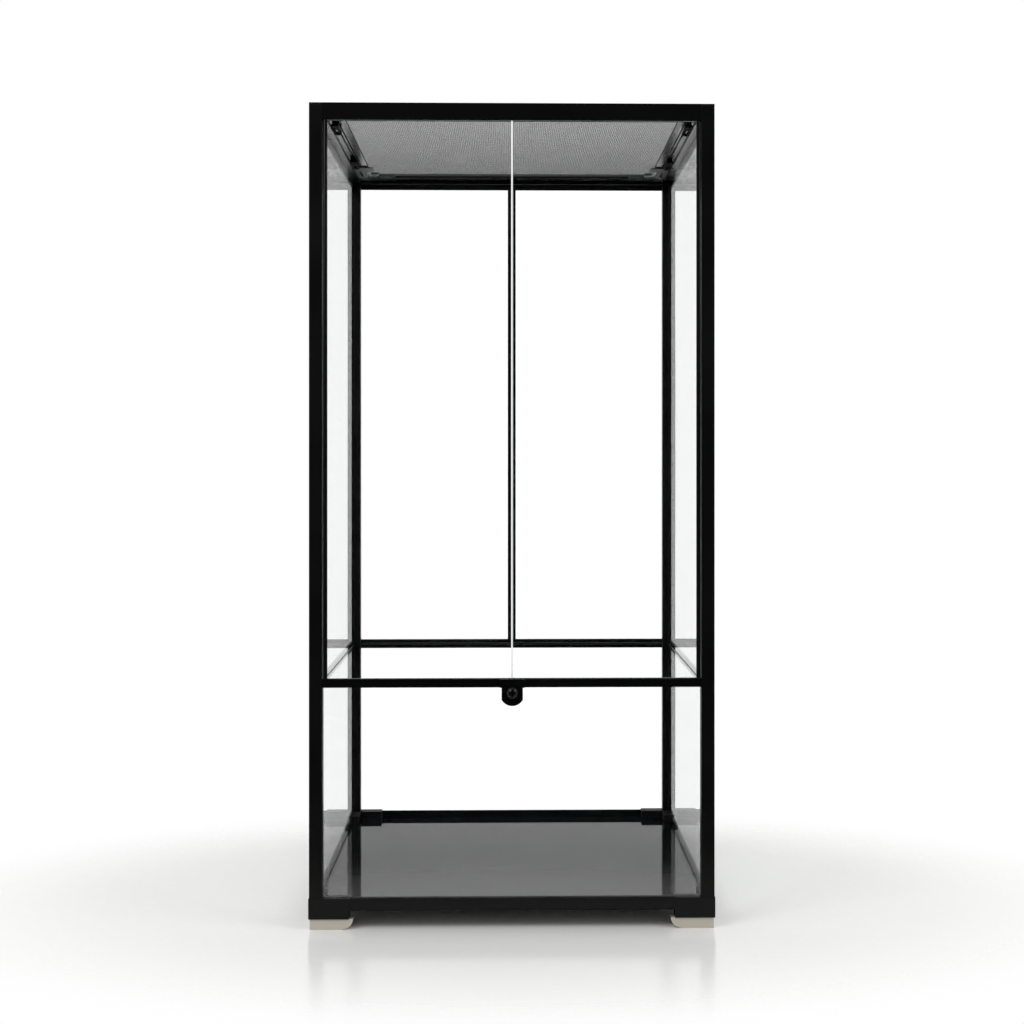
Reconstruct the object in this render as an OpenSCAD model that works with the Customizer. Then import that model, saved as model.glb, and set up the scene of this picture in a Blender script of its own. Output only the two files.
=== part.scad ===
// Tall knock-down reptile terrarium: four grooved posts, thin outer rails, glass panes
// standing in the grooves, two hinged front doors and a lift-off screen cover.
// Millimetres, Z up. Origin: middle of the footprint, on the floor. The doors face -Y.

/* [Cabinet] */
// Width across the posts
width = 612; // [500:1:900]
// Depth across the posts
depth = 612; // [560:1:900]
// Height over everything
height = 1246; // [900:2:1500]
// Height of the top of the front mid rail, the door sill
sill_z = 376.6; // [200:0.2:560]
// Height of the top of the side and rear mid rails
mid_rail_z = 367.5; // [200:0.5:560]

/* [Posts and rails] */
// Side of the square posts
post_size = 20; // [20:0.5:26]
// Thickness of the outer wall that posts and rails share
skin = 3.8; // [3:0.1:4.2]
// Wall around the chambers of posts and rails
wall = 1.8; // [1.2:0.1:1.8]
// Depth of the glass grooves
groove_d = 8; // [6:0.5:8]
// Radius of the screw channel in a post
channel_r = 2.5; // [2.2:0.1:2.8]
// Depth of the front rails, front to back
front_rail_d = 18; // [16:0.5:19]
// Height of the top rails
top_rail_h = 24.5; // [22:0.5:30]
// Thickness of the ledge that carries the cover
ledge_t = 3.4; // [2:0.2:4]
// Width of the ledge, from the outer face
ledge_w = 19; // [16:0.5:19]
// Height of the front mid rail
sill_h = 12; // [11:0.5:16]
// Height of the side and rear mid rails
mid_rail_h = 16.5; // [10:0.5:24]
// Thickness of the web between two panes
web_t = 2; // [1.5:0.1:3]
// Width of the rear mullion
mullion_w = 15; // [10:0.5:24]

/* [Base] */
// Height of the foot pads
foot_h = 16; // [8:1:24]
// Radius under the inner end of a foot pad
foot_r = 15; // [4:1:15]
// Length of a foot pad, from the outer face of the frame
foot_l = 65; // [50:1:80]
// Height of the front corner blocks
block_h = 31; // [31:0.5:44]
// Height of the rear corner blocks
rear_block_h = 28; // [27.5:0.5:44]
// Length of a corner block's legs past the post
block_leg = 40; // [25:1:60]
// How far the corner blocks stand proud of the posts
block_skin = 1; // [1:0.1:3]
// Height of the flange under the floor, above the foot pads
flange_rise = 8; // [6:0.5:9]
// Thickness of the flange under the floor
flange_t = 2; // [1.5:0.1:2.5]
// Width of the flange under the floor, from the outer face
flange_w = 34; // [28:1:60]
// Thickness of the floor panel
floor_t = 4; // [3:0.5:4]
// Height of the side and rear base rails above the floor panel
base_lip = 12; // [8:0.5:14]
// Height of the front base rail
front_base_h = 15.5; // [15:0.5:17]

/* [Glass] */
// Thickness of every pane
glass_t = 4; // [3:0.5:4]
// Gap round glass, posts and rails where they slot together
fit = 0.2; // [0.1:0.05:0.3]

/* [Doors] */
// Gap between the two doors
door_gap = 3; // [2:0.1:3]
// Gap above and below the doors
door_clear = 1.4; // [1.2:0.1:3]
// Radius of the round nose of the hinge profile
hinge_r = 3; // [2.8:0.1:3.1]
// Gap between the hinge profile and the post
hinge_gap = 0.9; // [0.8:0.1:1]
// How far the hinge profile reaches from its pin towards the glass
hinge_reach = 3.4; // [3.2:0.1:3.4]
// Radius of the hinge pins
pin_r = 1.5; // [1.2:0.1:1.6]
// Depth of the pin bores in the ends of the hinge profile
pin_depth = 12; // [8:1:20]
// Running gap round the pins
pin_gap = 0.04; // [0.02:0.01:0.08]
// Depth of the bushings in the rails
bushing_depth = 3.8; // [3:0.1:3.8]

/* [Lock] */
// Width of the lock housing
lock_w = 32; // [28:1:44]
// Height of the housing below the sill rail
lock_drop = 27; // [25:0.5:36]
// Height of the arc that ends the housing below
lock_arc = 9.3; // [4:0.1:12]
// Depth of the housing, front to back
lock_d = 7.5; // [7:0.1:9]
// Width of the tongue's crown
crown_w = 38; // [30:1:50]
// Travel of the tongue
tongue_travel = 4; // [3:0.5:4]
// Radius of the knob
knob_r = 9; // [8:0.5:12]
// Width of the coin slot across the knob
coin_slot_w = 2; // [1.6:0.1:3]

/* [Cover] */
// Height of the cover frame
cover_h = 9.7; // [9:0.1:11]
// Gap under and around the cover
cover_gap = 0.3; // [0.2:0.05:0.6]
// Width of the cover's rails
cover_rail_w = 42; // [40:0.5:46]
// Width of the lip that the mesh lies on
lip_w = 3.5; // [3:0.1:5]
// Height of that lip
lip_h = 3.9; // [3:0.1:4.5]
// Width of the spline channel
spline_w = 4.6; // [4:0.1:5]
// Thickness of the mesh
mesh_t = 0.7; // [0.5:0.1:1]
// Openings across the mesh, each way
mesh_cells = 12; // [6:1:12]
// Width of the strands between the openings
mesh_strand = 4; // [2:0.5:8]
// Length of a corner plate along X
corner_x = 83; // [80:1:110]
// Length of a corner plate along Y
corner_y = 76; // [74:1:110]
// How far a corner plate reaches under the mesh, past the rails' inner edges
corner_shelf = 13; // [6:0.5:20]

/* [Cover latches] */
// Reach of a latch's nose from its pivot
latch_nose = 17; // [14:0.5:17]
// Reach of a latch's handle from its pivot
latch_handle = 50; // [30:1:55]
// Width of a latch
latch_w = 12; // [9:0.5:12]
// Thickness of a latch's arm
latch_t = 4; // [3:0.5:5]
// Distance of the latch pivots from the side faces
latch_inset = 28; // [27:0.5:30]
// Distance of the front latch pivots from the front face
latch_front = 102; // [100:1:130]
// Distance of the rear latch pivots from the front face
latch_rear = 390; // [250:1:392]
// Radius of a latch's pivot stud
stud_r = 2.4; // [2:0.1:3]

/* [Cable ports] */
// Width of a cable port
port_w = 15; // [12:0.5:15]
// Length of a cable port
port_l = 42; // [30:1:42]
// Thickness of the shutter
shutter_t = 2; // [1.5:0.1:2.2]
// Length of the shutter's finger tab
tab_l = 34; // [20:1:40]
// Width of the shutter's finger tab
tab_w = 16; // [8:1:20]

/* [Hidden] */
$fn = 48;
e = 0.01;                                      // overshoot of a cut
run = 0.05;                                    // running fit round a shaft
bed = 0.1;                                     // under and over the mesh
play = 0.3;                                    // between pieces that move or hang loose
rise = 0.4;                                    // over and under the sliding pieces

half_w = width / 2;
half_d = depth / 2;

// Grooves, measured inward from the outer faces
groove_0 = skin;
groove_1 = skin + glass_t + 2 * fit;
glass_0 = skin + fit;
tenon_l = groove_d - fit;
chamber_0 = groove_1 + wall;
chamber_1 = post_size - wall;
channel_at = (groove_0 + groove_1) / 2;

// Heights
block_z = foot_h;
block_floor = 4;                               // under the post
flange_z = block_z + flange_rise;
floor_z = flange_z + flange_t;
floor_top = floor_z + floor_t;
base_top = floor_top + base_lip;
front_base_top = floor_top + front_base_h;
pane_foot = floor_z + fit;
front_pane_foot = front_base_top - groove_d + fit;
sill_bottom = sill_z - sill_h;
sill_groove = sill_h - bushing_depth - 1.2;    // depth of the groove under the sill
mid_bottom = mid_rail_z - mid_rail_h;
web_bottom = mid_bottom + (mid_rail_h - web_t) / 2;
web_top = web_bottom + web_t;
cover_top = height;
cover_z = cover_top - cover_h;
ledge_top = cover_z - cover_gap;
ledge_z = ledge_top - ledge_t;
top_rail_z = height - top_rail_h;
cap_h = 3.5;
post_top = height - cap_h;
pane_top = ledge_z - play;
pane_half_x = half_w - post_size + tenon_l;
pane_half_y = half_d - post_size + tenon_l;

// Screws
screw_r = channel_r - play;
screw_l = 14;
head_r = 3.8;
head_h = 2;

// Base
rail_stop = post_size + block_skin + 2 * fit;  // base rails end this far from the faces
leg_w = post_size + 2 * block_skin + fit;
leg_l = post_size + block_skin + block_leg;
pocket = rail_stop - fit;

// Doors
door_foot = sill_z + door_clear;
door_top = top_rail_z - door_clear;
door_h = door_top - door_foot;
seal_w = door_gap - 2 * play;
hinge_x = half_w - post_size - hinge_gap - hinge_r;
hinge_y = -half_d + skin;
hinge_round = 0.9;
slot_in = pin_r + 0.8;                         // from the pin to the bottom of the glass slot
door_edge = hinge_x - slot_in - 0.1;
bushing_r = pin_r + 1.1;
bushing_flange_r = hinge_r;
bushing_flange_t = 1;

// Lock, measured from the rail's front face
lock_z = sill_bottom - lock_drop;
plate_t = 1.6;
crown_z = sill_bottom + play;
crown_h = door_foot - rise - crown_z;
crown_y0 = plate_t + play;
crown_y1 = lock_d - 0.7;
stem_w = 13;
stem_y1 = crown_y0 + 2.5;
stem_h = 19;
knob_z = sill_bottom - 7.5;
knob_y0 = lock_d + play;
knob_t = 1.6;
dome_h = 4.4;
dome_r = knob_r - 0.6;
coin_slot_d = 2.4;
spindle_r = 3;
crank = tongue_travel / 2;                     // the drive pin's offset along X and Z
crank_pin_r = 1;

// Cover
cover_play = 0.4;                              // more room at the sides, to lift it out
cover_x = half_w - skin - cover_gap - cover_play;
cover_y = half_d - skin - cover_gap - cover_play;
inner_x = cover_x - cover_rail_w;
inner_y = cover_y - cover_rail_w;
channel_z = cover_z + 1.6;
mesh_z = cover_z + lip_h + bed;
mesh_in = lip_w + spline_w / 2;                // how far the mesh reaches past the inner edge
spline_r = 1.9;
spline_z = mesh_z + mesh_t + bed + spline_r;
cover_wall = 2.2;
notch = post_size + cover_gap + fit;           // round the head of a post
corner_x0 = cover_x - corner_x;
corner_y0 = cover_y - corner_y;
tongue_l = 15;

// Latches and ports
latch_x = half_w - latch_inset;
latch_top = ledge_z - rise;
latch_slot_w = 3.6;
boss_r = 5;
port_x0 = inner_x + lip_w + spline_w + 1.5;
port_y1 = half_d - ledge_w - 3;
port_y0 = port_y1 - port_l;
shutter_lap = 2;
shutter_x0 = port_x0 - shutter_lap;
shutter_x1 = port_x0 + port_w + shutter_lap - rise;
shutter_travel = port_l + 4;
shutter_l = 2 * port_l + 4;
shutter_y1 = port_y0 - 3;
shutter_top = cover_z - rise;
guide_r = 1.7;
guide_x = (shutter_x0 + shutter_x1) / 2;
guide_y = shutter_y1 - 6;

// Colours
black = [0.05, 0.05, 0.055];
satin = [0.09, 0.09, 0.1];
clear = [0.86, 0.93, 0.92, 0.35];
steel = [0.75, 0.76, 0.78];
pale = [0.86, 0.84, 0.78];

// ---- Placing ---------------------------------------------------------------

// Children are drawn with their outer corner at 0, 0 and run inward along +X and +Y.
// sx and sy say which corner of the cabinet they belong to.
module at_corner(sx, sy) {
    translate([sx * half_w, sy * half_d, 0])
        mirror([sx > 0 ? 1 : 0, 0, 0])
            mirror([0, sy > 0 ? 1 : 0, 0])
                children();
}

// A flat profile (distance inward, height) drawn out along Y on the side sx
module side_bar(sx, length) {
    translate([sx * half_w, 0, 0])
        mirror([sx > 0 ? 1 : 0, 0, 0])
            rotate([90, 0, 0])
                linear_extrude(length, center = true)
                    children();
}

// A flat profile (distance inward, height) drawn out along X at the front or rear, sy
module cross_bar(sy, length) {
    translate([0, sy * half_d, 0])
        mirror([0, sy > 0 ? 1 : 0, 0])
            rotate([90, 0, 90])
                linear_extrude(length, center = true)
                    children();
}

// A rectangle between two distances and two heights
module strip(u0, u1, z0, z1) {
    translate([u0, z0])
        square([u1 - u0, z1 - z0]);
}

// A box between two corners
module box(low, high) {
    translate(low)
        cube(high - low);
}

// ---- Frame -----------------------------------------------------------------

module post_profile() {
    difference() {
        square(post_size);
        translate([groove_0, post_size - groove_d])
            square([groove_1 - groove_0, groove_d + e]);
        translate([post_size - groove_d, groove_0])
            square([groove_d + e, groove_1 - groove_0]);
        translate([chamber_0, chamber_0])
            square(chamber_1 - chamber_0);
        translate([channel_at, channel_at])
            circle(channel_r);
    }
}

module post(sx, sy) {
    color(black)
        at_corner(sx, sy)
            translate([0, 0, block_z + block_floor])
                linear_extrude(post_top - block_z - block_floor)
                    post_profile();
}

module post_caps() {
    spigot_l = 25;
    color(satin)
        for (sx = [-1, 1], sy = [-1, 1])
            at_corner(sx, sy)
                difference() {
                    union() {
                        translate([0, 0, post_top])
                            cube([post_size, post_size, cap_h]);
                        box([chamber_0 + fit, chamber_0 + fit, post_top - spigot_l],
                            [chamber_1 - fit, chamber_1 - fit, post_top + e]);
                    }
                    translate([channel_at, channel_at, post_top - 1])
                        cylinder(h = cap_h + 2, r = channel_r);
                    translate([channel_at, channel_at, height - head_h - fit])
                        cylinder(h = head_h + 1, r = head_r + fit);
                }
}

module frame_screw() {
    cylinder(h = head_h, r = head_r);
    translate([0, 0, -screw_l])
        cylinder(h = screw_l + e, r = screw_r);
}

module frame_screws() {
    color(steel)
        for (sx = [-1, 1], sy = [-1, 1])
            at_corner(sx, sy)
                translate([channel_at, channel_at, 0]) {
                    translate([0, 0, height - head_h - fit])
                        frame_screw();
                    translate([0, 0, block_z + head_h + fit])
                        mirror([0, 0, 1])
                            frame_screw();
                }
}

// Tenons that slide into the posts' grooves at both ends of a cross bar or side bar
module end_tenons(half, z0, z1) {
    for (end = [-1, 1])
        mirror([0, end < 0 ? 1 : 0, 0])
            box([glass_0, half - e, z0], [glass_0 + glass_t, half + tenon_l, z1]);
}

module side_tenons(sx, z0, z1) {
    translate([sx * half_w, 0, 0])
        mirror([sx > 0 ? 1 : 0, 0, 0])
            end_tenons(half_d - post_size, z0, z1);
}

module cross_tenons(sy, z0, z1) {
    rotate([0, 0, sy < 0 ? 90 : -90])
        translate([-half_d, 0, 0])
            end_tenons(half_w - post_size, z0, z1);
}

module angle_profile() {
    strip(0, skin, top_rail_z, height);
    strip(0, ledge_w, ledge_z, ledge_top);
}

module top_rail_side(sx) {
    color(black) {
        side_bar(sx, depth - 2 * post_size)
            angle_profile();
        side_tenons(sx, ledge_z, post_top - fit);
    }
}

module top_rail_rear() {
    color(black) {
        cross_bar(1, width - 2 * post_size)
            angle_profile();
        cross_tenons(1, ledge_z, post_top - fit);
    }
}

module bushing_bores(z, up) {
    for (sx = [-1, 1])
        translate([sx * hinge_x, hinge_y, up ? z - e : z - bushing_depth - fit])
            cylinder(h = bushing_depth + fit + e, r = bushing_r + run);
}

module top_rail_front() {
    floor_wall = bushing_depth + fit + rise;
    color(black)
        difference() {
            union() {
                cross_bar(-1, width - 2 * post_size)
                    difference() {
                        union() {
                            strip(0, front_rail_d, top_rail_z, ledge_top);
                            strip(0, skin, top_rail_z, height);
                        }
                        strip(wall, front_rail_d - wall, top_rail_z + floor_wall,
                              ledge_top - wall);
                    }
                cross_tenons(-1, top_rail_z + 1, post_top - fit);
            }
            bushing_bores(top_rail_z, true);
        }
}

module tee_profile() {
    strip(0, skin, mid_bottom, mid_rail_z);
    strip(0, glass_0 + glass_t, web_bottom, web_top);
}

module mid_rail_side(sx) {
    color(black) {
        side_bar(sx, depth - 2 * post_size)
            tee_profile();
        side_tenons(sx, web_bottom, web_top);
    }
}

module mid_rail_rear() {
    color(black) {
        cross_bar(1, width - 2 * post_size)
            tee_profile();
        cross_tenons(1, web_bottom, web_top);
    }
}

// The sill under the doors, with a fine line along its face and a groove for the pane
module mid_rail_front() {
    line_h = 0.8;
    line_d = 0.5;
    line_z = sill_z - 3.4;
    color(black)
        difference() {
            union() {
                cross_bar(-1, width - 2 * post_size)
                    difference() {
                        strip(0, front_rail_d, sill_bottom, sill_z);
                        strip(groove_0, groove_1, sill_bottom - e,
                              sill_bottom + sill_groove);
                        strip(chamber_0, front_rail_d - wall, sill_bottom + wall,
                              sill_z - wall);
                        strip(-e, line_d, line_z, line_z + line_h);
                    }
                cross_tenons(-1, sill_bottom + sill_groove + fit, sill_z - fit);
            }
            bushing_bores(sill_z, false);
        }
}

module rear_mullion() {
    color(black) {
        cross_bar(1, mullion_w)
            strip(0, skin, mid_rail_z, top_rail_z);
        cross_bar(1, web_t)
            strip(skin - e, glass_0 + glass_t, web_top + fit, pane_top);
    }
}

module base_rail_side(sx) {
    color(black)
        side_bar(sx, depth - 2 * rail_stop) {
            strip(0, skin, flange_z, base_top);
            strip(0, flange_w, flange_z, floor_z);
        }
}

// The flanges at the front and the rear end beside those of the side rails
module cross_flange(sy, from) {
    cross_bar(sy, width - 2 * (flange_w + fit))
        strip(from - e, flange_w, flange_z, floor_z);
}

module base_rail_rear() {
    color(black) {
        cross_bar(1, width - 2 * rail_stop)
            strip(0, skin, flange_z, base_top);
        cross_flange(1, skin);
    }
}

module base_rail_front() {
    color(black) {
        cross_bar(-1, width - 2 * rail_stop)
            difference() {
                union() {
                    strip(0, front_rail_d, floor_top, front_base_top);
                    strip(front_rail_d - wall, front_rail_d, flange_z, floor_top + e);
                }
                strip(groove_0, groove_1, front_base_top - groove_d, front_base_top + e);
                strip(chamber_0, front_rail_d - wall, floor_top + wall,
                      front_base_top - wall);
            }
        cross_flange(-1, front_rail_d);
    }
}

// ---- Base corners ----------------------------------------------------------

// Room in a leg for an angle rail, its pane and the floor panel. The leg runs along Y.
module angle_leg_cuts() {
    box([-fit, pocket, flange_z - fit], [skin + fit, leg_l + 1, base_top + fit]);
    box([groove_0, post_size - 1, pane_foot - fit], [groove_1, leg_l + 1, sill_z]);
    box([-fit, pocket, flange_z - fit], [leg_w + 1, leg_l + 1, floor_top + fit]);
}

// Room in a leg for the front base rail and its pane. The leg runs along X.
module front_leg_cuts() {
    box([pocket, -fit, floor_top - fit],
        [leg_l + 1, front_rail_d + fit, front_base_top + fit]);
    box([post_size - 1, groove_0, front_pane_foot - fit], [leg_l + 1, groove_1, sill_z]);
    box([pocket, front_rail_d - wall - fit, flange_z - fit],
        [leg_l + 1, leg_w + 1, floor_top + fit]);
}

module swap_xy() {
    mirror([1, -1, 0])
        children();
}

module corner_block(sx, sy) {
    top = block_z + (sy < 0 ? block_h : rear_block_h);
    color(satin)
        at_corner(sx, sy)
            difference() {
                union() {
                    box([-block_skin, -block_skin, block_z],
                        [leg_l - block_skin, leg_w - block_skin, top]);
                    box([-block_skin, -block_skin, block_z],
                        [leg_w - block_skin, leg_l - block_skin, top]);
                }
                box([-fit, -fit, block_z + block_floor],
                    [post_size + fit, post_size + fit, top + 1]);
                angle_leg_cuts();
                if (sy < 0)
                    front_leg_cuts();
                else
                    swap_xy()
                        angle_leg_cuts();
                translate([channel_at, channel_at, block_z - 1])
                    cylinder(h = block_floor + 2, r = channel_r);
                translate([channel_at, channel_at, block_z - 1])
                    cylinder(h = head_h + fit + 1, r = head_r + fit);
            }
}

// One arm of a foot pad: its inner end is rounded underneath. The arm runs along X.
module foot_arm() {
    arm_w = 20;
    translate([0, arm_w, 0])
        rotate([90, 0, 0])
            linear_extrude(arm_w) {
                square([foot_l - foot_r, foot_h]);
                intersection() {
                    translate([foot_l - foot_r, foot_h])
                        circle(foot_r);
                    translate([foot_l - foot_r - e, foot_h - foot_r])
                        square([foot_r + e, foot_r]);
                }
            }
}

module foot_pads() {
    inset = 1;
    color(pale)
        for (sx = [-1, 1], sy = [-1, 1])
            at_corner(sx, sy)
                translate([inset, inset, 0]) {
                    foot_arm();
                    swap_xy()
                        foot_arm();
                }
}

module floor_panel() {
    edge_x = half_w - groove_1 - fit;
    edge_y = half_d - groove_1 - fit;
    front_y = half_d - front_rail_d - fit;
    corner = rail_stop;
    color(satin)
        difference() {
            box([-edge_x, -front_y, floor_z], [edge_x, edge_y, floor_top]);
            for (sx = [-1, 1], sy = [-1, 1])
                at_corner(sx, sy)
                    translate([0, 0, floor_z - 1])
                        cube([corner, corner, floor_t + 2]);
        }
}

// ---- Fixed panes -----------------------------------------------------------

module side_pane(sx, z0, z1) {
    color(clear)
        side_bar(sx, 2 * pane_half_y)
            strip(glass_0, glass_0 + glass_t, z0, z1);
}

module front_pane() {
    color(clear)
        cross_bar(-1, 2 * pane_half_x)
            strip(glass_0, glass_0 + glass_t, front_pane_foot,
                  sill_bottom + sill_groove - 2 * fit);
}

module rear_lower_pane() {
    color(clear)
        cross_bar(1, 2 * pane_half_x)
            strip(glass_0, glass_0 + glass_t, pane_foot, web_bottom - fit);
}

module rear_upper_pane(sx) {
    inner = web_t / 2 + fit;
    color(clear)
        translate([sx * (pane_half_x + inner) / 2, 0, 0])
            cross_bar(1, pane_half_x - inner)
                strip(glass_0, glass_0 + glass_t, web_top + fit, pane_top);
}

// ---- Doors -----------------------------------------------------------------

module door_glass(sx) {
    color(clear)
        translate([sx * (door_gap / 2 + door_edge) / 2, hinge_y,
                   (door_foot + door_top) / 2])
            cube([door_edge - door_gap / 2, glass_t, door_h], center = true);
}

// Strip on the left door's free edge: flat on the glass, with a round nose in the gap
module door_seal() {
    color(clear)
        translate([-door_gap / 2, hinge_y, door_foot])
            linear_extrude(door_h)
                intersection() {
                    translate([seal_w - glass_t / 2, 0])
                        circle(glass_t / 2);
                    translate([0, -glass_t / 2])
                        square([seal_w, glass_t]);
                }
}

// Round nose at the pin, and an end with rounded corners towards the glass
module hinge_outline() {
    corner = hinge_reach - hinge_round;
    circle(hinge_r);
    translate([-corner, -hinge_r])
        square([corner, 2 * hinge_r]);
    translate([-hinge_reach, -hinge_r + hinge_round])
        square([hinge_reach, 2 * (hinge_r - hinge_round)]);
    for (y = [-1, 1])
        translate([-corner, y * (hinge_r - hinge_round)])
            circle(hinge_round);
}

module hinge_profile(sx) {
    slot_t = glass_t + fit / 2;
    color(black)
        translate([sx * hinge_x, hinge_y, door_foot])
            mirror([sx < 0 ? 1 : 0, 0, 0])
                difference() {
                    linear_extrude(door_h)
                        difference() {
                            hinge_outline();
                            translate([-hinge_reach - 1, -slot_t / 2])
                                square([hinge_reach + 1 - slot_in, slot_t]);
                        }
                    for (z = [-e, door_h - pin_depth])
                        translate([0, 0, z])
                            cylinder(h = pin_depth + e, r = pin_r + pin_gap / 2);
                }
}

module door_pins(sx) {
    reach = door_clear + bushing_depth - 2 * play;
    inside = pin_depth - play;
    color(steel)
        translate([sx * hinge_x, hinge_y, 0]) {
            translate([0, 0, door_foot - reach])
                cylinder(h = reach + inside, r = pin_r);
            translate([0, 0, door_top - inside])
                cylinder(h = reach + inside, r = pin_r);
        }
}

module bushing() {
    difference() {
        union() {
            translate([0, 0, -bushing_depth])
                cylinder(h = bushing_depth, r = bushing_r);
            cylinder(h = bushing_flange_t, r = bushing_flange_r);
        }
        translate([0, 0, -bushing_depth - 1])
            cylinder(h = bushing_depth + bushing_flange_t + 2, r = pin_r + pin_gap);
    }
}

module door_bushings() {
    color(pale)
        for (sx = [-1, 1])
            translate([sx * hinge_x, hinge_y, 0]) {
                translate([0, 0, sill_z])
                    bushing();
                translate([0, 0, top_rail_z])
                    mirror([0, 0, 1])
                        bushing();
            }
}

// ---- Lock ------------------------------------------------------------------

// Stands a flat shape (X, height) on the rail's front face, from y0 to y1 in front of it
module on_face(y0, y1) {
    translate([0, -half_d - y0, 0])
        rotate([90, 0, 0])
            linear_extrude(y1 - y0)
                children();
}

module housing_outline() {
    arc_r = (lock_w * lock_w / 4 + lock_arc * lock_arc) / (2 * lock_arc);
    translate([-lock_w / 2, lock_z + lock_arc])
        square([lock_w, lock_drop - lock_arc]);
    intersection() {
        translate([-lock_w / 2, lock_z])
            square([lock_w, lock_arc + e]);
        translate([0, lock_z + arc_r])
            circle(arc_r, $fn = 96);
    }
}

module lock_housing() {
    plate_h = sill_h - rise;
    color(satin)
        difference() {
            union() {
                on_face(0, lock_d)
                    housing_outline();
                on_face(0, plate_t)
                    translate([-lock_w / 2 + 1, sill_bottom - e])
                        square([lock_w - 2, plate_h]);
            }
            // channel of the tongue's stem
            on_face(plate_t, stem_y1 + 2 * play)
                translate([-stem_w / 2 - fit, crown_z - stem_h - rise])
                    square([stem_w + 2 * fit, stem_h + 2]);
            // bore of the knob's spindle
            on_face(stem_y1, lock_d + 1)
                translate([0, knob_z])
                    circle(spindle_r + run);
        }
}

// Crown over the sill rail, and a stem with the slot that the knob's drive pin works in
module lock_tongue() {
    crown_corner = 4;
    slot_h = 2 * (crank_pin_r + fit);
    slot_x0 = crank - crank_pin_r - play;
    slot_x1 = crank * sqrt(2) + crank_pin_r + play;
    color(satin)
        difference() {
            union() {
                on_face(crown_y0, crown_y1) {
                    translate([-crown_w / 2, crown_z])
                        square([crown_w, crown_h - crown_corner]);
                    translate([-crown_w / 2 + crown_corner, crown_z])
                        square([crown_w - 2 * crown_corner, crown_h]);
                    for (side = [-1, 1])
                        translate([side * (crown_w / 2 - crown_corner),
                                   crown_z + crown_h - crown_corner])
                            circle(crown_corner);
                }
                on_face(crown_y0, stem_y1)
                    translate([-stem_w / 2, crown_z - stem_h])
                        square([stem_w, stem_h + 1]);
            }
            on_face(crown_y0 - 1, stem_y1 + 1)
                translate([slot_x0, knob_z - crank - slot_h / 2])
                    square([slot_x1 - slot_x0, slot_h]);
        }
}

// Domed knob with a coin slot, upright when the lock is open
module lock_knob() {
    dome_y = knob_y0 + knob_t;
    ball_r = (dome_r * dome_r + dome_h * dome_h) / (2 * dome_h);
    color(satin) {
        on_face(knob_y0, dome_y)
            translate([0, knob_z])
                circle(knob_r);
        difference() {
            intersection() {
                on_face(dome_y - e, dome_y + dome_h)
                    translate([0, knob_z])
                        circle(dome_r);
                translate([0, -half_d - dome_y - dome_h + ball_r, knob_z])
                    sphere(ball_r);
            }
            on_face(dome_y + dome_h - coin_slot_d, dome_y + dome_h + 1)
                translate([-coin_slot_w / 2, knob_z - knob_r])
                    square([coin_slot_w, 2 * knob_r]);
        }
        on_face(stem_y1 + play, knob_y0 + e)
            translate([0, knob_z])
                circle(spindle_r);
        on_face(crown_y0 + play, stem_y1 + play + e)
            translate([crank, knob_z - crank])
                circle(crank_pin_r);
    }
}

// ---- Cover -----------------------------------------------------------------

// Section of a cover rail: distance outward from its inner edge, and height
module cover_section() {
    line_w = 2;
    line_d = 1.4;
    difference() {
        square([cover_rail_w, cover_h]);
        translate([-e, lip_h])
            square([lip_w + 2 * e, cover_h]);
        translate([lip_w, channel_z - cover_z])
            square([spline_w, cover_h]);
        translate([lip_w + spline_w + wall, cover_wall])
            square([cover_rail_w - lip_w - spline_w - 2 * wall,
                    cover_h - cover_wall - wall]);
        // fine grooves along the underside
        for (x = [11.5, 16.5, 32])
            translate([x, -e])
                square([line_w, line_d]);
    }
}

module cover_bore(x, y, r) {
    translate([x, y, cover_z - 1])
        cylinder(h = cover_wall + 2, r = r);
}

module cover_rail_side(sx) {
    length = 2 * corner_y0;
    color(black)
        mirror([sx < 0 ? 1 : 0, 0, 0])
            difference() {
                translate([inner_x, 0, cover_z])
                    rotate([90, 0, 0])
                        linear_extrude(length, center = true)
                            cover_section();
                for (y = [latch_front, latch_rear])
                    cover_bore(latch_x, y - half_d, stud_r + run);
            }
}

module cover_rail_cross(sy) {
    length = 2 * corner_x0;
    color(black)
        mirror([0, sy < 0 ? 1 : 0, 0])
            translate([0, inner_y, cover_z])
                rotate([90, 0, 90])
                    linear_extrude(length, center = true)
                        cover_section();
}

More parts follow.
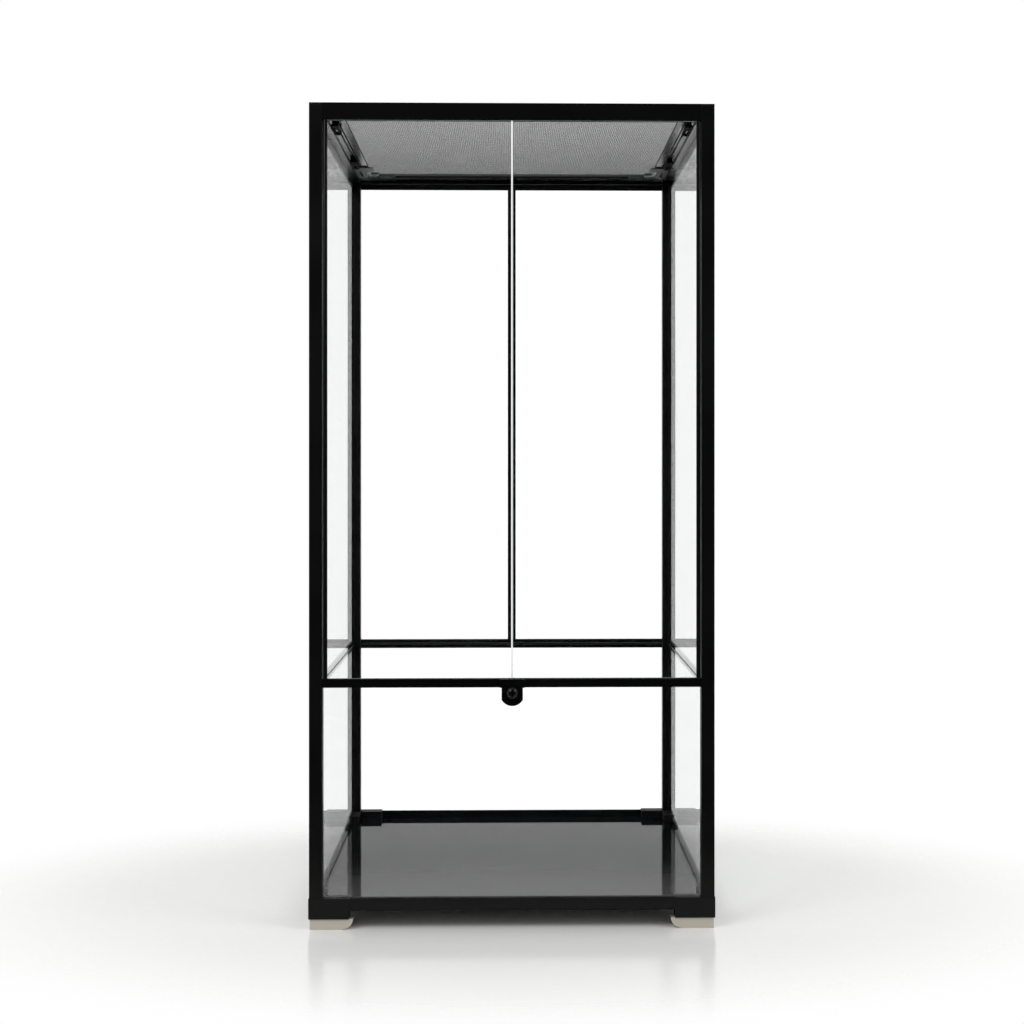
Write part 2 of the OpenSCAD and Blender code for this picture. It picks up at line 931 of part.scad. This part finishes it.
module cover_corner(sx, sy) {
    bed_z = mesh_z - bed;
    chan_x = inner_x + lip_w;
    chan_y = inner_y + lip_w;
    tongue_0 = lip_w + spline_w + wall + fit;
    tongue_1 = cover_rail_w - wall - fit;
    low = cover_z + cover_wall + fit;
    high = cover_top - wall - fit;
    color(satin)
        mirror([sx < 0 ? 1 : 0, 0, 0])
            mirror([0, sy < 0 ? 1 : 0, 0])
                difference() {
                    union() {
                        box([inner_x - corner_shelf, corner_y0, cover_z],
                            [cover_x, cover_y, bed_z]);
                        box([corner_x0, inner_y - corner_shelf, cover_z],
                            [cover_x, cover_y, bed_z]);
                        box([chan_x + spline_w, corner_y0, cover_z],
                            [cover_x, cover_y, cover_top]);
                        box([corner_x0, chan_y + spline_w, cover_z],
                            [cover_x, cover_y, cover_top]);
                        box([corner_x0 - tongue_l, inner_y + tongue_0, low],
                            [corner_x0 + 1, inner_y + tongue_1, high]);
                        box([inner_x + tongue_0, corner_y0 - tongue_l, low],
                            [inner_x + tongue_1, corner_y0 + 1, high]);
                        if (sy > 0)
                            guide_stud();
                    }
                    box([chan_x, corner_y0 - 1, channel_z],
                        [chan_x + spline_w, chan_y + spline_w, cover_top + 1]);
                    box([corner_x0 - 1, chan_y, channel_z],
                        [chan_x + spline_w, chan_y + spline_w, cover_top + 1]);
                    box([half_w - notch, half_d - notch, cover_z - 1],
                        [cover_x + 1, cover_y + 1, cover_top + 1]);
                    if (sy > 0)
                        box([port_x0, port_y0, cover_z - 1],
                            [port_x0 + port_w, port_y1, cover_top + 1]);
                }
}

// Headed stud that a cable shutter hangs and slides on
module guide_stud() {
    head = 3.4;
    head_t = 1.2;
    low = shutter_top - shutter_t - rise - head_t;
    translate([guide_x, guide_y, low]) {
        cylinder(h = head_t, r = head);
        cylinder(h = cover_z - low + e, r = guide_r);
    }
}

// Screen: a plain grid of square openings over the cover's inner opening
module cover_mesh() {
    x = inner_x + mesh_in;
    y = inner_y + mesh_in;
    pitch_x = 2 * inner_x / mesh_cells;
    pitch_y = 2 * inner_y / mesh_cells;
    last = mesh_cells - 1;
    color([0.45, 0.46, 0.48])
        translate([0, 0, mesh_z])
            linear_extrude(mesh_t)
                difference() {
                    square([2 * x, 2 * y], center = true);
                    for (i = [0:last], j = [0:last])
                        translate([(i - last / 2) * pitch_x, (j - last / 2) * pitch_y])
                            square([pitch_x - mesh_strand, pitch_y - mesh_strand],
                                   center = true);
                }
}

module cover_spline() {
    x = inner_x + lip_w + spline_w / 2;
    y = inner_y + lip_w + spline_w / 2;
    long = x + spline_r;
    short = y - spline_r - fit;
    color([0.08, 0.08, 0.08])
        for (side = [-1, 1]) {
            translate([-long, side * y, spline_z])
                rotate([0, 90, 0])
                    cylinder(h = 2 * long, r = spline_r);
            translate([side * x, short, spline_z])
                rotate([90, 0, 0])
                    cylinder(h = 2 * short, r = spline_r);
        }
}

// Turn-button under the cover: its nose swings out under the ledge
module cover_latch(sx, from_front) {
    arm_z = latch_top - latch_t;
    color(satin)
        translate([sx * latch_x, from_front - half_d, arm_z]) {
            linear_extrude(latch_t)
                difference() {
                    union() {
                        for (y = [-latch_nose + latch_w / 2, latch_handle - latch_w / 2])
                            translate([0, y])
                                circle(latch_w / 2);
                        translate([-latch_w / 2, -latch_nose + latch_w / 2])
                            square([latch_w, latch_nose + latch_handle - latch_w]);
                    }
                    translate([-latch_slot_w / 2, boss_r + 3])
                        square([latch_slot_w, latch_handle - boss_r - 3 - latch_w / 2]);
                }
            cylinder(h = cover_z - arm_z - play, r = boss_r);
            cylinder(h = cover_z - arm_z + cover_wall + 1.5, r = stud_r);
        }
}

module cable_shutter(sx) {
    color(satin)
        mirror([sx < 0 ? 1 : 0, 0, 0])
            difference() {
                union() {
                    box([shutter_x0, shutter_y1 - shutter_l, shutter_top - shutter_t],
                        [shutter_x1, shutter_y1, shutter_top]);
                    box([shutter_x0 - tab_w, shutter_y1 - shutter_l,
                         shutter_top - shutter_t],
                        [shutter_x0 + e, shutter_y1 - shutter_l + tab_l, shutter_top]);
                }
                box([guide_x - guide_r - play, guide_y - shutter_travel - guide_r - play,
                     shutter_top - shutter_t - 1],
                    [guide_x + guide_r + play, guide_y + guide_r + play, shutter_top + 1]);
            }
}

// ---- Nodes -----------------------------------------------------------------

post(-1, -1);  // post_front_left
post(1, -1);  // post_front_right
post(-1, 1);  // post_rear_left
post(1, 1);  // post_rear_right
top_rail_front();
top_rail_rear();
top_rail_side(-1);  // top_rail_left
top_rail_side(1);  // top_rail_right
mid_rail_front();
mid_rail_rear();
mid_rail_side(-1);  // mid_rail_left
mid_rail_side(1);  // mid_rail_right
base_rail_front();
base_rail_rear();
base_rail_side(-1);  // base_rail_left
base_rail_side(1);  // base_rail_right
corner_block(-1, -1);  // corner_block_front_left
corner_block(1, -1);  // corner_block_front_right
corner_block(-1, 1);  // corner_block_rear_left
corner_block(1, 1);  // corner_block_rear_right
post_caps();
frame_screws();
foot_pads();
rear_mullion();
floor_panel();
front_pane();  // glass_front_lower
rear_lower_pane();  // glass_rear_lower
rear_upper_pane(-1);  // glass_rear_upper_left
rear_upper_pane(1);  // glass_rear_upper_right
side_pane(-1, pane_foot, web_bottom - fit);  // glass_left_lower
side_pane(-1, web_top + fit, pane_top);  // glass_left_upper
side_pane(1, pane_foot, web_bottom - fit);  // glass_right_lower
side_pane(1, web_top + fit, pane_top);  // glass_right_upper
door_bushings();
lock_housing();
lock_tongue();
lock_knob();
door_glass(-1);  // door_glass_left
hinge_profile(-1);  // door_hinge_profile_left
door_pins(-1);  // door_pins_left
door_seal();
door_glass(1);  // door_glass_right
hinge_profile(1);  // door_hinge_profile_right
door_pins(1);  // door_pins_right
cover_rail_cross(-1);  // cover_rail_front
cover_rail_cross(1);  // cover_rail_rear
cover_rail_side(-1);  // cover_rail_left
cover_rail_side(1);  // cover_rail_right
cover_corner(-1, -1);  // cover_corner_front_left
cover_corner(1, -1);  // cover_corner_front_right
cover_corner(-1, 1);  // cover_corner_rear_left
cover_corner(1, 1);  // cover_corner_rear_right
cover_mesh();
cover_spline();
cover_latch(-1, latch_front);  // cover_latch_front_left
cover_latch(1, latch_front);  // cover_latch_front_right
cover_latch(-1, latch_rear);  // cover_latch_rear_left
cover_latch(1, latch_rear);  // cover_latch_rear_right
cable_shutter(-1);  // cable_shutter_left
cable_shutter(1);  // cable_shutter_right
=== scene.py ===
"""Looks of a tall glass reptile terrarium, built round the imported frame. Metres, Z up, doors facing -Y."""
import math
from collections import namedtuple

import bpy
import numpy as np
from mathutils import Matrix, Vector

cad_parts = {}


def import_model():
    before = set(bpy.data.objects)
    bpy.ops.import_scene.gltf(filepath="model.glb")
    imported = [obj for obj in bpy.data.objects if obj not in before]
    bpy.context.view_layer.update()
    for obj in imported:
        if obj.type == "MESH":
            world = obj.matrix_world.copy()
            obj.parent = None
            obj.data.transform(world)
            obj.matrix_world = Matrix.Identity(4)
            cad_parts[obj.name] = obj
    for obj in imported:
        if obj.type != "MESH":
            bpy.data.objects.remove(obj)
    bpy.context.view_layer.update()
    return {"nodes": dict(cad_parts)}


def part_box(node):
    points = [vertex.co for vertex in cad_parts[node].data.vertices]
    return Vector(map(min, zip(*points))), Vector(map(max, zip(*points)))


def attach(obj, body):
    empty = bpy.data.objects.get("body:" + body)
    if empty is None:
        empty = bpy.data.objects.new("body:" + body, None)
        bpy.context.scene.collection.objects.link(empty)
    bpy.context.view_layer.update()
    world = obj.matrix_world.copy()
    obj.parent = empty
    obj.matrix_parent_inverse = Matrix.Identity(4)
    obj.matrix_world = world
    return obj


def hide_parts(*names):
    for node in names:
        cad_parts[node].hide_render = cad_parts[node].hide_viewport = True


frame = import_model()
nodes = frame["nodes"]

X, Y, Z = 0, 1, 2

# ---- Shader helpers ----------------------------------------------------------


def fill(tree, socket, value):
    """Links another node's output to a socket, or sets the socket to a number or a colour."""
    if isinstance(value, bpy.types.NodeSocket):
        tree.links.new(value, socket)
    else:
        socket.default_value = value


def add(tree, kind, settings=None, **inputs):
    """A shader node with its settings and sockets; an underscore in a socket's name is a space."""
    node = tree.nodes.new("ShaderNode" + kind)
    for key, value in (settings or {}).items():
        setattr(node, key, value)
    for key, value in inputs.items():
        fill(tree, node.inputs[key.replace("_", " ")], value)
    return node


def maths(tree, operation, *values):
    """Output of a Math node over numbers or sockets."""
    node = add(tree, "Math", {"operation": operation})
    for socket, value in zip(node.inputs, values):
        fill(tree, socket, value)
    return node.outputs[0]


def blank(name):
    """An empty node material and its tree."""
    material = bpy.data.materials.new(name)
    material.use_nodes = True
    material.node_tree.nodes.clear()
    return material, material.node_tree


def show(tree, shader):
    """Makes a shader the surface of the tree's material."""
    tree.links.new(shader, add(tree, "OutputMaterial").inputs["Surface"])


def place(tree, stretch=(1.0, 1.0, 1.0)):
    """Object coordinates in metres; a pattern on them is drawn out along an axis by a small factor."""
    where = add(tree, "TexCoord").outputs["Object"]
    return add(tree, "Mapping", Vector=where, Scale=stretch).outputs["Vector"]


def lines_along(tree, axis, factor):
    """Object coordinates that draw a pattern out into lines along one axis."""
    stretch = [1.0, 1.0, 1.0]
    stretch[axis] = factor
    return place(tree, stretch)


def normal_part(tree, axis):
    """How far the surface faces along one axis, from -1 to 1."""
    normal = add(tree, "TexCoord").outputs["Normal"]
    return add(tree, "SeparateXYZ", Vector=normal).outputs[axis]


def noise(tree, where, scale, detail=2.0):
    """Cloudy noise round 0.5; scale is about the number of patches to a metre."""
    return add(tree, "TexNoise", Vector=where, Scale=scale, Detail=detail, Roughness=0.5).outputs[0]


def span(tree, value, low, high):
    """Noise between 0.3 and 0.7 stretched to another range, and held at its ends."""
    node = add(tree, "MapRange", Value=value, From_Min=0.3, From_Max=0.7, To_Min=low, To_Max=high)
    return node.outputs["Result"]


def smooth_step(tree, value, low, high):
    """Rises softly from 0 at low to 1 at high."""
    node = add(tree, "MapRange", {"interpolation_type": "SMOOTHSTEP"}, Value=value, From_Min=low,
               From_Max=high)
    return node.outputs["Result"]


def mix_colour(tree, factor, first, second):
    """Mixes two linear RGB colours."""
    node = add(tree, "Mix", {"data_type": "RGBA"})
    fill(tree, node.inputs[0], factor)
    fill(tree, node.inputs[6], (*first, 1.0))
    fill(tree, node.inputs[7], (*second, 1.0))
    return node.outputs[2]


def mix_shader(tree, factor, first, second):
    """The first shader where factor is 0, the second where it is 1."""
    node = add(tree, "MixShader", Fac=factor)
    tree.links.new(first, node.inputs[1])
    tree.links.new(second, node.inputs[2])
    return node.outputs[0]


def bump(tree, height, distance, strength, normal=None):
    """Normal of a surface raised by height times distance, over another bump if one is given."""
    node = add(tree, "Bump", Height=height, Distance=distance, Strength=strength)
    if normal is not None:
        tree.links.new(normal, node.inputs["Normal"])
    return node.outputs["Normal"]


# ---- Materials ---------------------------------------------------------------

COAT_TINT = (0.96, 1.02, 1.05)       # faint blue of the black coat
COAT_SHADES = (0.55, 1.45)           # darkest and lightest part of the coat's tone
DULL_COAT = 0.9                      # roughness of the thin coat on ledges and in grooves
LEVEL = 0.5                          # a face looks up or down if its normal's Z is past this
ACROSS = 0.9                         # a pane's face lies across its axis if its normal is past this


def ledges(tree):
    """1 on faces that look up or down."""
    facing = maths(tree, "ABSOLUTE", normal_part(tree, Z))
    return maths(tree, "GREATER_THAN", facing, LEVEL)


def all_but_underside(tree, top):
    """0 on faces that look down from lower than top, 1 elsewhere."""
    height = add(tree, "SeparateXYZ", Vector=add(tree, "TexCoord").outputs["Object"]).outputs[Z]
    low_down = maths(tree, "MULTIPLY", maths(tree, "LESS_THAN", height, top),
                     maths(tree, "LESS_THAN", normal_part(tree, Z), -LEVEL))
    return maths(tree, "SUBTRACT", 1.0, low_down)


def coated_metal(name, along, rough=(0.3, 0.42), specular=0.2, tone=0.0028, dull_ledges=False,
                 underside=None):
    """Black powder coat on an extrusion: orange peel, and faint die lines along one axis. The coat
    can be dull on ledges, or dull on all but the faces that look down from lower than underside."""
    material, tree = blank(name)
    peel = noise(tree, place(tree), scale=900.0)
    drawn = noise(tree, lines_along(tree, along, 0.003), scale=700.0)
    cloud = noise(tree, place(tree), scale=9.0, detail=3.0)
    dark, light = (tuple(tone * shade * part for part in COAT_TINT) for shade in COAT_SHADES)
    normal = bump(tree, peel, distance=0.00003, strength=0.5)
    normal = bump(tree, drawn, distance=0.00001, strength=0.4, normal=normal)
    roughness = span(tree, cloud, *rough)
    dull = None
    if dull_ledges:
        dull = ledges(tree)
    if underside is not None:
        dull = all_but_underside(tree, underside)
    if dull is not None:
        roughness = maths(tree, "MAXIMUM", roughness, maths(tree, "MULTIPLY", dull, DULL_COAT))
    shader = add(tree, "BsdfPrincipled", Base_Color=mix_colour(tree, cloud, dark, light),
                 Roughness=roughness, Normal=normal, Specular_IOR_Level=specular)
    show(tree, shader.outputs[0])
    return material


def moulded(name, dark, light, rough=0.5, specular=0.22):
    """Injection-moulded plastic with a fine spark-eroded grain."""
    material, tree = blank(name)
    grain = noise(tree, place(tree), scale=1600.0, detail=3.0)
    cloud = noise(tree, place(tree), scale=14.0, detail=3.0)
    uneven = 0.06
    shader = add(tree, "BsdfPrincipled", Base_Color=mix_colour(tree, cloud, dark, light),
                 Roughness=span(tree, cloud, rough - uneven, rough + uneven),
                 Normal=bump(tree, grain, distance=0.00005, strength=0.6),
                 Specular_IOR_Level=specular)
    show(tree, shader.outputs[0])
    return material


def glass(name, across):
    """Clear pane whose faces lie across one axis. Its cut edges are ground and pale green, and it
    lets light through to matt surfaces without bending it."""
    material, tree = blank(name)
    ripple = noise(tree, place(tree), scale=3.0, detail=1.0)
    clear = add(tree, "BsdfPrincipled", Base_Color=(0.995, 1.0, 0.998, 1.0), Roughness=0.0,
                IOR=1.45, Transmission_Weight=1.0,
                Normal=bump(tree, ripple, distance=0.0004, strength=0.3))
    grind = noise(tree, place(tree), scale=2500.0)
    edge = add(tree, "BsdfPrincipled", Roughness=span(tree, grind, 0.35, 0.55),
               Base_Color=mix_colour(tree, grind, (0.11, 0.17, 0.145), (0.18, 0.26, 0.225)),
               Transmission_Weight=0.35,
               Normal=bump(tree, grind, distance=0.00005, strength=0.5))
    on_edge = maths(tree, "LESS_THAN", maths(tree, "ABSOLUTE", normal_part(tree, across)), ACROSS)
    solid = mix_shader(tree, on_edge, clear.outputs[0], edge.outputs[0])
    path = add(tree, "LightPath")
    lit = maths(tree, "MAXIMUM", path.outputs["Is Shadow Ray"], path.outputs["Is Diffuse Ray"])
    through = add(tree, "BsdfTransparent", Color=(0.93, 0.95, 0.94, 1.0))
    show(tree, mix_shader(tree, lit, solid, through.outputs[0]))
    return material


def painted_backlit_vinyl():
    """Milky clear strip between the doors, drawn opaque and near white: its brightness is painted light from
    the white backdrop shining through it.
    """
    material, tree = blank("painted_backlit_vinyl")
    cloud = noise(tree, lines_along(tree, Z, 0.1), scale=60.0)
    shader = add(tree, "BsdfPrincipled", Roughness=0.3,
                 Base_Color=mix_colour(tree, cloud, (0.9, 0.91, 0.91), (0.96, 0.97, 0.97)),
                 Normal=bump(tree, cloud, distance=0.0001, strength=0.3))
    show(tree, shader.outputs[0])
    return material


def gloss_sheet():
    """Gloss black floor panel."""
    material, tree = blank("gloss_sheet")
    cloud = noise(tree, place(tree), scale=5.0, detail=4.0)
    ripple = noise(tree, place(tree), scale=12.0)
    shader = add(tree, "BsdfPrincipled", Roughness=span(tree, cloud, 0.02, 0.05),
                 Base_Color=mix_colour(tree, cloud, (0.004, 0.004, 0.005), (0.008, 0.008, 0.009)),
                 Normal=bump(tree, ripple, distance=0.0002, strength=0.2),
                 Specular_IOR_Level=0.12)
    show(tree, shader.outputs[0])
    return material


def bare_metal(name, colour, along, rough=0.35):
    """Plated or bare metal with fine lines along one axis."""
    material, tree = blank(name)
    drawn = noise(tree, lines_along(tree, along, 0.01), scale=2500.0)
    dark = tuple(0.75 * part for part in colour)
    uneven = 0.1
    shader = add(tree, "BsdfPrincipled", Base_Color=mix_colour(tree, drawn, dark, colour),
                 Metallic=1.0, Roughness=span(tree, drawn, rough - uneven, rough + uneven),
                 Normal=bump(tree, drawn, distance=0.00001, strength=0.5))
    show(tree, shader.outputs[0])
    return material


def wire_metal():
    """Dark coated wire of the screen, duller in places."""
    material, tree = blank("screen_wire")
    cloud = noise(tree, place(tree), scale=25.0, detail=3.0)
    shader = add(tree, "BsdfPrincipled", Roughness=span(tree, cloud, 0.4, 0.55),
                 Base_Color=mix_colour(tree, cloud, (0.03, 0.03, 0.034), (0.05, 0.05, 0.055)))
    show(tree, shader.outputs[0])
    return material


# ---- Dressing of the CAD nodes -----------------------------------------------

WELD_GAP = 0.00001                   # split vertices lie closer than this
SHARP = math.radians(35)             # least angle of an edge that is broken
UNDERSIDE_ROOM = 0.0004              # faces this near to a cover rail's lowest point are its underside

# edge is the width of the piece's broken edges, None if it has none, and steps is their roundness.
Finish = namedtuple("Finish", "material edge steps", defaults=(0.0004, 2))


def chamfer(piece, width, steps):
    """Breaks the piece's sharp edges; its split vertices are joined first."""
    weld = piece.modifiers.new("weld", "WELD")
    weld.merge_threshold = WELD_GAP
    bevel = piece.modifiers.new("edges", "BEVEL")
    bevel.width = width
    bevel.segments = steps
    bevel.limit_method = "ANGLE"
    bevel.angle_limit = SHARP
    bevel.harden_normals = True


def dress(piece, finish):
    """Gives a CAD piece its one material, and breaks its edges where the finish says so."""
    piece.data.materials.clear()
    piece.data.materials.append(finish.material)
    if finish.edge:
        chamfer(piece, finish.edge, finish.steps)


def length_axis(name):
    """The axis that an extrusion runs along."""
    low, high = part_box(name)
    size = high - low
    return max((X, Y, Z), key=lambda axis: size[axis])


cover_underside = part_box("cover_rail_left")[0].z + UNDERSIDE_ROOM
coat = {X: coated_metal("black_coat_x", X, dull_ledges=True),
        Y: coated_metal("black_coat_y", Y, rough=(0.24, 0.34), specular=0.4),
        Z: coated_metal("black_coat_z", Z)}
# Front top and middle rails: a duller coat whose tone, under a third of the others', is painted shade.
matt_shaded_coat = coated_metal("matt_coat_x", X, rough=(0.6, 0.7), specular=0.1, tone=0.0008,
                         dull_ledges=True)
cover_coat = {axis: coated_metal(name, axis, rough=(0.2, 0.28), specular=0.5,
                                 underside=cover_underside)
              for axis, name in ((X, "cover_coat_x"), (Y, "cover_coat_y"))}
corner_coat = coated_metal("corner_coat", X, rough=(0.15, 0.21), specular=0.5, tone=0.035,
                           underside=cover_underside)
black_moulding = moulded("black_moulding", (0.002, 0.002, 0.0023), (0.004, 0.004, 0.0044))
dull_moulding = moulded("dull_moulding", (0.001, 0.001, 0.0012), (0.002, 0.002, 0.0023),
                        rough=0.75, specular=0.1)
# Cable shutters: a grey far lighter than the black mouldings, as painted light where light from above falls
# into the ports.
lit_port_moulding = moulded("lit_port_moulding", (0.035, 0.035, 0.038), (0.05, 0.05, 0.055))
lock_black = ((0.0006, 0.0006, 0.0007), (0.0014, 0.0014, 0.0016))
lock_moulding = moulded("lock_moulding", *lock_black, rough=0.45, specular=0.15)
knob_moulding = moulded("knob_moulding", *lock_black, rough=0.3, specular=0.35)
cream_moulding = moulded("cream_moulding", (0.43, 0.40, 0.34), (0.50, 0.465, 0.40), rough=0.45)
rubber = moulded("black_rubber", (0.008, 0.008, 0.008), (0.014, 0.014, 0.014), rough=0.75)
glass_across_x = glass("glass_across_x", X)
glass_across_y = glass("glass_across_y", Y)
vinyl = painted_backlit_vinyl()
gloss_black = gloss_sheet()
plated = bare_metal("plated_steel", (0.62, 0.62, 0.63), Z)
wire = wire_metal()

# Finish of each node whose name starts with a word of the key. The first key that fits counts,
# and a node that fits none is a coated extrusion.
finishes = {
    ("glass_left", "glass_right"): Finish(glass_across_x, edge=0.0005, steps=1),
    ("glass_", "door_glass"): Finish(glass_across_y, edge=0.0005, steps=1),
    ("cover_corner",): Finish(corner_coat, edge=0.0003),
    ("corner_block", "post_caps"): Finish(black_moulding),
    ("post_",): Finish(coat[Z], edge=0.0007, steps=3),
    ("cover_latch",): Finish(dull_moulding),
    ("cable_shutter",): Finish(lit_port_moulding),
    ("lock_knob",): Finish(knob_moulding),
    ("lock_",): Finish(lock_moulding),
    ("door_pins", "frame_screws"): Finish(plated, edge=0.0002, steps=1),
    ("foot_pads",): Finish(cream_moulding, edge=0.0008, steps=3),
    ("door_bushings",): Finish(black_moulding, edge=0.0002, steps=1),
    ("door_seal",): Finish(vinyl, edge=None),
    ("floor_panel",): Finish(gloss_black, steps=1),
    ("cover_spline",): Finish(rubber, edge=None),
}


def finish_of(name):
    """Finish of a CAD node, from its name and the way that it runs."""
    for starts, finish in finishes.items():
        if name.startswith(starts):
            return finish
    along = length_axis(name)
    if name.startswith("cover_rail"):
        return Finish(cover_coat[along], edge=0.0003)
    if name.startswith(("top_rail", "mid_rail")) and along == X:
        return Finish(matt_shaded_coat)
    return Finish(coat[along])


for name, piece in nodes.items():
    dress(piece, finish_of(name))

# ---- Woven screen ------------------------------------------------------------

PITCH = 0.003                        # from wire to wire
WIRE_R = 0.000237                    # radius of a wire
CRIMP = 2 * WIRE_R                   # from a straight wire's middle to a crimped one's, where they cross
WEFT_R = 1.2 * WIRE_R                # three-sided wires are drawn larger to look as thick


def screen_wires(low, high, along, crimp, radius, sides):
    """Vertices and faces of the wires that run along one axis. crimp lifts each one over and under
    the wires that it crosses, and straight wires have none."""
    other = Y if along == X else X
    count = [int((high[axis] - low[axis]) / PITCH) for axis in (X, Y)]
    middle = (low + high) / 2
    starts = [middle[axis] - count[axis] * PITCH / 2 for axis in (X, Y)]
    run = np.arange(count[along] + 1) * PITCH + starts[along]
    if not crimp:
        run = run[[0, -1]]
    rows = np.arange(count[other] + 1) * PITCH + starts[other]
    turn = np.arange(sides) * 2 * math.pi / sides
    side, up = np.sin(turn) * radius, np.cos(turn) * radius
    weave = crimp * ((np.arange(len(rows))[:, None] + np.arange(len(run))[None, :]) % 2 * 2 - 1)
    points = np.zeros((len(rows), len(run), sides, 3))
    points[..., along] = run[None, :, None]
    points[..., other] = rows[:, None, None] + side[None, None, :]
    points[..., Z] = middle.z + weave[:, :, None] + up[None, None, :]
    ids = np.arange(points.size // 3).reshape(len(rows), len(run), sides)
    here, there = ids[:, :-1], ids[:, 1:]
    quads = np.stack([here, there, np.roll(there, -1, axis=2), np.roll(here, -1, axis=2)], axis=-1)
    return points.reshape(-1, 3), quads.reshape(-1, 4)


def woven_screen():
    """Wire screen in the place of the cover's mesh: straight wires, and crimped ones woven through."""
    low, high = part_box("cover_mesh")
    warp, warp_faces = screen_wires(low, high, X, crimp=0.0, radius=WIRE_R, sides=6)
    weft, weft_faces = screen_wires(low, high, Y, crimp=CRIMP, radius=WEFT_R, sides=3)
    mesh = bpy.data.meshes.new("woven_screen")
    mesh.from_pydata(np.concatenate([warp, weft]).tolist(), [],
                     np.concatenate([warp_faces, weft_faces + len(warp)]).tolist())
    mesh.polygons.foreach_set("use_smooth", [True] * len(mesh.polygons))
    screen = bpy.data.objects.new("woven_screen", mesh)
    bpy.context.scene.collection.objects.link(screen)
    mesh.materials.append(wire)
    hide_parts("cover_mesh")
    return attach(screen, "cover")


woven_screen()

# ---- Stage -------------------------------------------------------------------

FLOOR_REACH = 1.4                    # half the floor's side
FADE_CENTRE_Y = -0.12                # the floor's fade is centred a little ahead of the object's middle
FADE_WIDENING = 0.6                  # below 1 makes the fade reach further to the sides
FADE_FROM, FADE_TO = 0.34, 0.63      # distances at which the floor starts to fade and is gone
ROOM_FROM, ROOM_TO = -0.7, 0.1       # Y of directions between which the mirrored room turns white
SKY_LIGHT = 0.8                      # world on matt surfaces
THROUGH_GLASS = 1.2                  # makes up for what the four faces of two panes turn back


def floor():
    """Pale floor that fades into the white backdrop away from the object."""
    material, tree = blank("pale_floor")
    where = add(tree, "TexCoord").outputs["Object"]
    speckle = noise(tree, where, scale=60.0, detail=4.0)
    pale = add(tree, "BsdfPrincipled", Roughness=0.16, Specular_IOR_Level=0.5,
               Base_Color=mix_colour(tree, speckle, (0.80, 0.795, 0.78), (0.84, 0.835, 0.82)))
    patch = add(tree, "Mapping", Vector=where, Location=(0.0, -FADE_CENTRE_Y, 0.0),
                Scale=(FADE_WIDENING, 1.0, 1.0))
    away = add(tree, "VectorMath", {"operation": "LENGTH"})
    tree.links.new(patch.outputs["Vector"], away.inputs[0])
    fade = smooth_step(tree, away.outputs["Value"], FADE_FROM, FADE_TO)
    show(tree, mix_shader(tree, fade, pale.outputs[0], add(tree, "BsdfTransparent").outputs[0]))
    mesh = bpy.data.meshes.new("floor")
    corners = ((-1, -1), (1, -1), (1, 1), (-1, 1))
    mesh.from_pydata([(x * FLOOR_REACH, y * FLOOR_REACH, 0) for x, y in corners], [], [(0, 1, 2, 3)])
    mesh.materials.append(material)
    ground = bpy.data.objects.new("floor", mesh)
    bpy.context.scene.collection.objects.link(ground)


def world():
    """White backdrop behind the object, and a dark room in front of it for its gloss to show."""
    sky = bpy.data.worlds.new("studio")
    sky.use_nodes = True
    tree = sky.node_tree
    tree.nodes.clear()
    aim = add(tree, "SeparateXYZ", Vector=add(tree, "TexCoord").outputs["Generated"])
    room = smooth_step(tree, aim.outputs[Y], ROOM_FROM, ROOM_TO)
    path = add(tree, "LightPath")
    mirrored = maths(tree, "GREATER_THAN", path.outputs["Glossy Depth"], 0.5)
    gloss = maths(tree, "MULTIPLY", mirrored, room)
    soft = maths(tree, "MULTIPLY", path.outputs["Is Diffuse Ray"], SKY_LIGHT)
    straight = maths(tree, "SUBTRACT", path.outputs["Is Transmission Ray"], mirrored)
    through = maths(tree, "MULTIPLY", straight, THROUGH_GLASS)
    strength = maths(tree, "MAXIMUM", maths(tree, "MAXIMUM", gloss, soft),
                     maths(tree, "MAXIMUM", through, path.outputs["Is Camera Ray"]))
    light = add(tree, "Background", Color=(1.0, 1.0, 1.0, 1.0), Strength=strength)
    tree.links.new(light.outputs[0], add(tree, "OutputWorld").inputs["Surface"])
    bpy.context.scene.world = sky


def softbox(name, at, aim, size, watts):
    """Rectangular lamp at one point, aimed at another."""
    lamp = bpy.data.lights.new(name, "AREA")
    lamp.shape = "RECTANGLE"
    lamp.size, lamp.size_y = size
    lamp.energy = watts
    holder = bpy.data.objects.new(name, lamp)
    holder.location = at
    holder.rotation_euler = (Vector(aim) - Vector(at)).to_track_quat("-Z", "Y").to_euler()
    bpy.context.scene.collection.objects.link(holder)


# ---- Picture -----------------------------------------------------------------

PICTURE_PX = 1024
SENSOR_MM = 36.0
LENS_MM = 54.05
CAMERA_AT = Vector((-0.0035, -2.625, 0.705))
CAMERA_YAW = math.radians(1.0)       # turned a little to the right of the depth lines
HORIZON_PX = 461.7                   # row of the level horizon
VANISHING_PX = 509.9                 # column that the depth lines run to


def camera():
    """Level camera whose lens is shifted to put the horizon and the vanishing point in their places."""
    lens = bpy.data.cameras.new("camera")
    lens.lens = LENS_MM
    lens.sensor_width = SENSOR_MM
    centre_px = VANISHING_PX + LENS_MM / SENSOR_MM * PICTURE_PX * math.tan(CAMERA_YAW)
    lens.shift_x = (PICTURE_PX / 2 - centre_px) / PICTURE_PX
    lens.shift_y = (HORIZON_PX - PICTURE_PX / 2) / PICTURE_PX
    eye = bpy.data.objects.new("camera", lens)
    eye.location = CAMERA_AT
    eye.rotation_euler = (math.radians(90), 0.0, -CAMERA_YAW)
    bpy.context.scene.collection.objects.link(eye)
    bpy.context.scene.camera = eye


floor()
world()
softbox("key_light", at=(-2.2, -2.4, 3.2), aim=(0, 0, 0.5), size=(1.6, 1.6), watts=48)
softbox("fill_light", at=(2.6, -1.6, 2.6), aim=(0, 0, 0.6), size=(1.4, 1.4), watts=26)
camera()
bpy.context.scene.view_settings.view_transform = "Standard"
